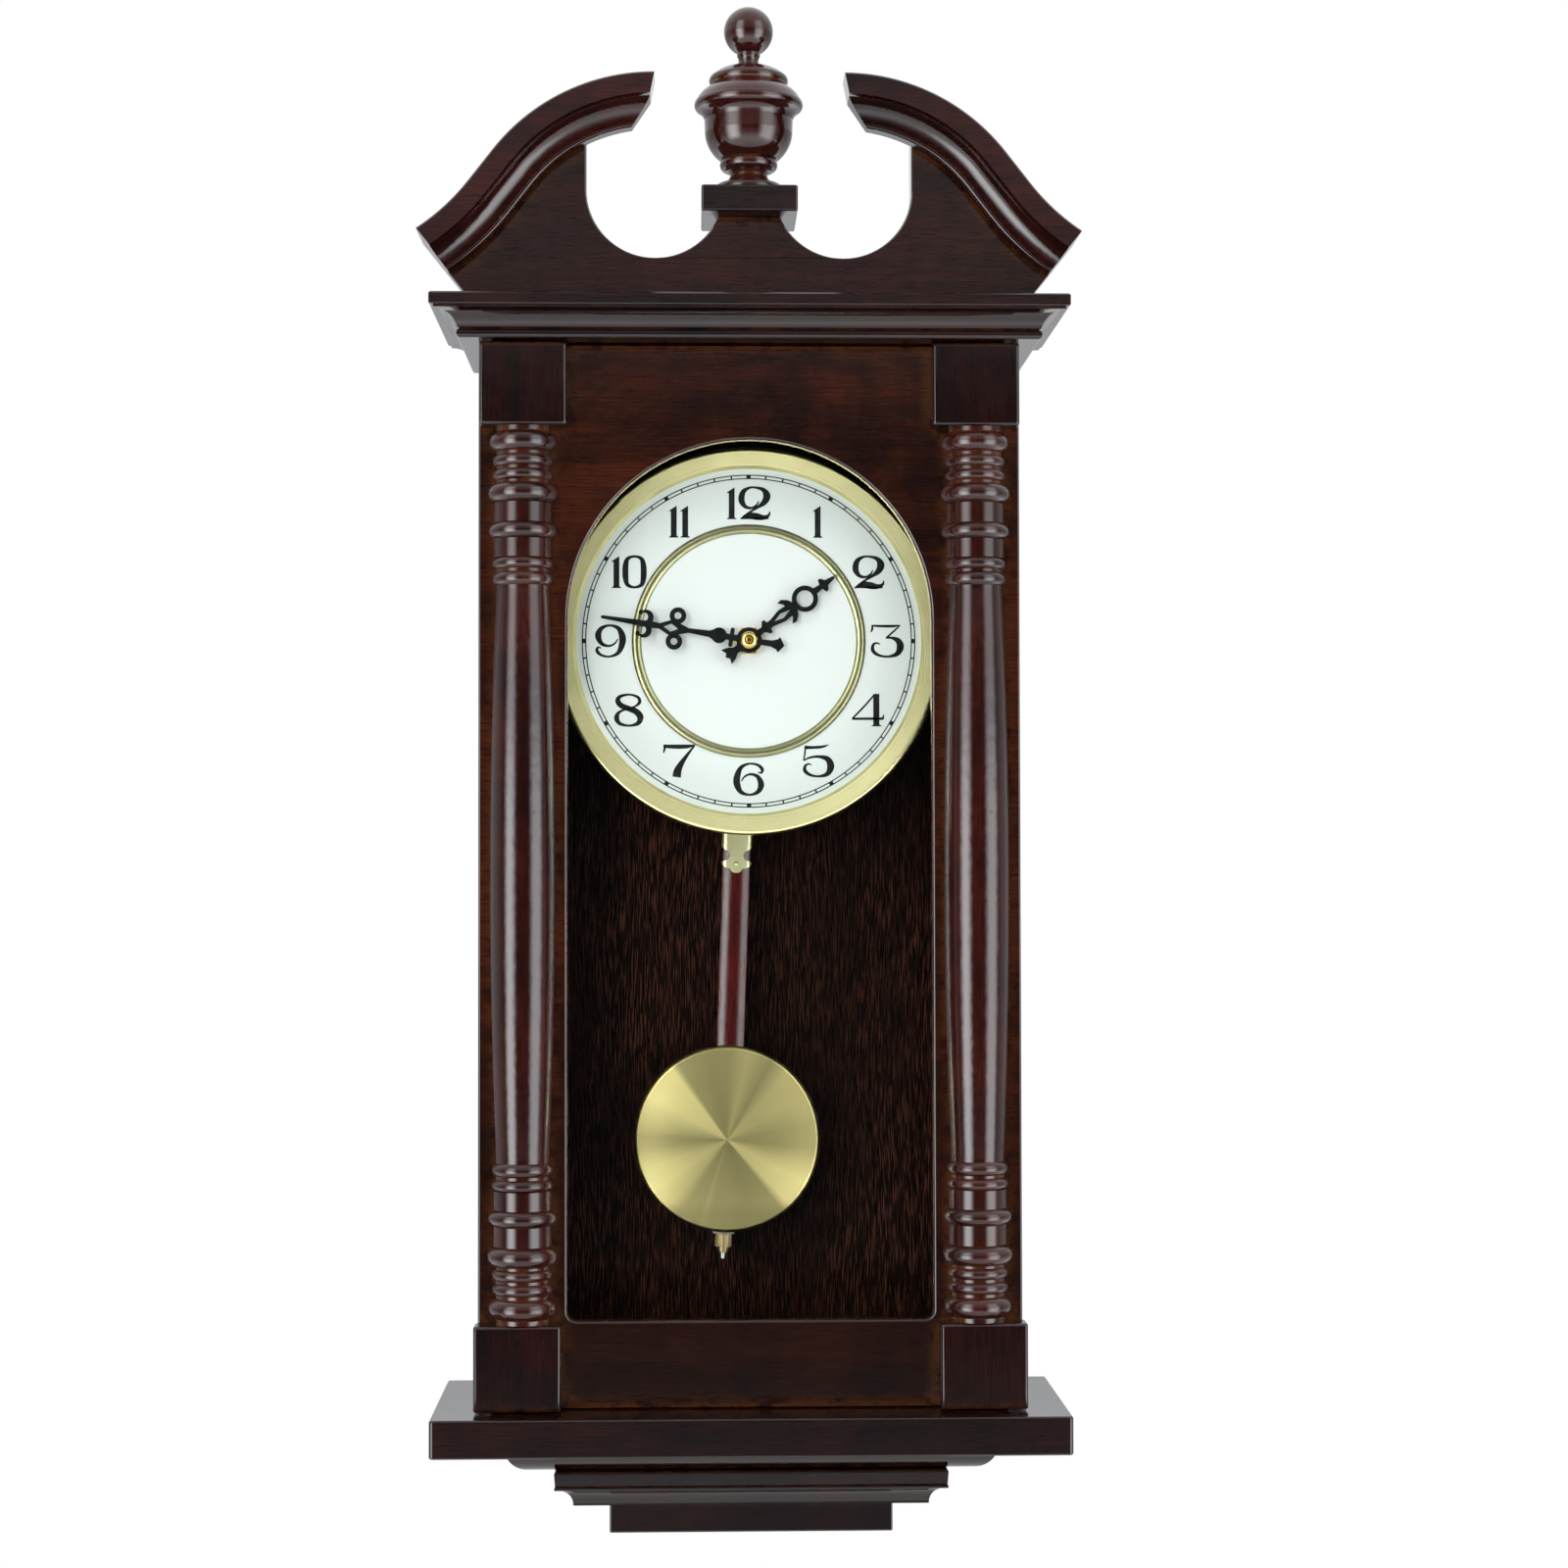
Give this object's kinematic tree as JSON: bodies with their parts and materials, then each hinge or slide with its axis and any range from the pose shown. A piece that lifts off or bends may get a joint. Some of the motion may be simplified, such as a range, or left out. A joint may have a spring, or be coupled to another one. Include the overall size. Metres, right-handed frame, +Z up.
{
  "type": "schoolhouse wall clock",
  "caption": "Tall wall clock with swan-neck pediment, turned finial and columns, glazed arched door, round white dial and a swinging brass pendulum.",
  "frame": {"origin": "centre of the round entry of the hanging keyhole, in the plane of the back that lies on the wall", "axes": "+X to the right seen from the front, +Y from the front towards the wall, +Z up"},
  "size_m": [0.3048, 0.115, 0.7052],
  "materials": {
    "case_wood": "dark brown-black high-gloss lacquer over open-grain hardwood",
    "panel_wood": "reddish mahogany veneer with dark mottled figure under gloss lacquer",
    "column_wood": "turned hardwood in dark gloss lacquer",
    "back_wood": "very dark brown hardboard with red-brown vertical grain print, satin",
    "rod_wood": "cherry-red gloss lacquered hardwood",
    "glass": "clear float glass",
    "brass": "satin, lacquered",
    "brass_pale": "radially spun, satin",
    "dial_white": "semi-gloss white enamel on aluminium",
    "hand_black": "satin black",
    "case_plastic": "fine-textured black moulding",
    "knob_plastic": "black moulding",
    "gear_plastic": "natural acetal",
    "steel": "zinc plated",
    "steel_arm": "plated strip",
    "board_green": "green solder mask on fibre board",
    "coil_copper": "enamelled copper wire on a bobbin",
    "magnet": "sintered ferrite, matt",
    "cell_jacket": "plain printed jacket, gloss",
    "cone_paper": "doped paper cone in a black frame"
  },
  "bodies": {
    "case": {"back_panel": "back_wood", "side_left": "case_wood", "side_right": "case_wood", "cornice_board": "case_wood", "base_board": "case_wood", "base_step_upper": "case_wood", "base_step_lower": "case_wood", "base_block": "case_wood", "tympanum": "panel_wood", "swan_neck_left": "case_wood", "swan_neck_right": "case_wood", "finial_plinth": "case_wood", "finial": "column_wood", "hinge_case_leaves": "brass", "hinge_pins": "brass", "case_screws": "steel", "catch_magnet": "magnet", "hanger_plate": "steel", "dial_board": "back_wood", "dial_plate": "dial_white", "dial_bezel": "brass", "dial_ring": "brass_pale", "dial_nut": "brass", "movement_case_front": "case_plastic", "movement_case_back": "case_plastic", "batteries": "cell_jacket", "circuit_board": "board_green", "speaker": "cone_paper", "motor_coil": "coil_copper", "motor_stator": "steel"},
    "door": {"door_frame": "panel_wood", "block_top_left": "case_wood", "block_top_right": "case_wood", "block_bottom_left": "case_wood", "block_bottom_right": "case_wood", "column_left": "column_wood", "column_right": "column_wood", "door_glass": "glass", "glass_retainer": "case_plastic", "hinge_door_leaves": "brass", "door_screws": "steel"},
    "minute": {"minute_arbor": "steel", "minute_hand": "hand_black", "hand_nut": "brass"},
    "hour": {"hour_wheel": "gear_plastic", "hour_hand": "hand_black"},
    "minute_gear": {"minute_wheel": "gear_plastic"},
    "setting": {"set_knob": "knob_plastic"},
    "centre_gear": {"centre_wheel": "gear_plastic"},
    "second_gear": {"second_wheel": "gear_plastic"},
    "first_gear": {"first_wheel": "gear_plastic"},
    "rotor_spindle": {"rotor": "magnet"},
    "pendulum": {"pendulum_arm": "steel_arm", "pendulum_bracket": "brass", "pendulum_rod": "rod_wood", "rating_stem": "steel"},
    "bob_weight": {"bob": "brass_pale", "bob_back": "steel_arm"},
    "regulator": {"rating_nut": "brass"},
    "switch": {"switch_slider": "knob_plastic"}
  },
  "joints": [
    {"name": "door_hinge", "type": "hinge", "parent": "case", "child": "door", "pos_m": [0.1226, -0.0678, 0], "axis": [0, 0, 1], "range_deg": [0, 110]},
    {"name": "minute_turn", "type": "hinge", "parent": "case", "child": "minute", "pos_m": [0, 0, -0.1105], "axis": [0, 1, 0], "continuous": true},
    {"name": "hour_turn", "type": "hinge", "parent": "case", "child": "hour", "pos_m": [0, 0, -0.1105], "axis": [0, 1, 0], "continuous": true},
    {"name": "minute_wheel_turn", "type": "hinge", "parent": "case", "child": "minute_gear", "pos_m": [-0.01353, 0, -0.10558], "axis": [0, 1, 0], "continuous": true},
    {"name": "set_knob_turn", "type": "hinge", "parent": "case", "child": "setting", "pos_m": [-0.01846, 0, -0.09204], "axis": [0, 1, 0], "continuous": true},
    {"name": "first_wheel_turn", "type": "hinge", "parent": "case", "child": "first_gear", "pos_m": [0.02049, 0, -0.113], "axis": [0, 1, 0], "continuous": true},
    {"name": "second_wheel_turn", "type": "hinge", "parent": "case", "child": "second_gear", "pos_m": [0.01222, 0, -0.10605], "axis": [0, 1, 0], "continuous": true},
    {"name": "centre_wheel_turn", "type": "hinge", "parent": "case", "child": "centre_gear", "pos_m": [0, 0, -0.1105], "axis": [0, 1, 0], "continuous": true},
    {"name": "rotor_turn", "type": "hinge", "parent": "case", "child": "rotor_spindle", "pos_m": [0.02569, 0, -0.122], "axis": [0, 1, 0], "continuous": true},
    {"name": "pendulum_swing", "type": "hinge", "parent": "case", "child": "pendulum", "pos_m": [0, 0, -0.06], "axis": [0, -1, 0], "range_deg": [-1.5, 5.6]},
    {"name": "bob_slide", "type": "slide", "parent": "pendulum", "child": "bob_weight", "axis": [0.0358, 0, 0.9994], "range_m": [-0.0035, 0.0035]},
    {"name": "rating_nut_turn", "type": "hinge", "parent": "bob_weight", "child": "regulator", "pos_m": [-0.01195, -0.0295, -0.39379], "axis": [0.0358, 0, 0.9994], "range_deg": [-1801, 1801]},
    {"name": "chime_switch", "type": "slide", "parent": "case", "child": "switch", "axis": [1, 0, 0], "range_m": [0, 0.006]}
  ],
  "couplings": [
    {"joint": "hour_turn", "follows": "minute_turn", "ratio": 0.083333},
    {"joint": "minute_wheel_turn", "follows": "minute_turn", "ratio": -0.33333},
    {"joint": "set_knob_turn", "follows": "minute_turn", "ratio": 1},
    {"joint": "second_wheel_turn", "follows": "first_wheel_turn", "ratio": -0.08},
    {"joint": "centre_wheel_turn", "follows": "first_wheel_turn", "ratio": 0.0066667},
    {"joint": "rotor_turn", "follows": "first_wheel_turn", "ratio": -12},
    {"joint": "rating_nut_turn", "follows": "bob_slide", "rad_per_m": 8976}
  ]
}
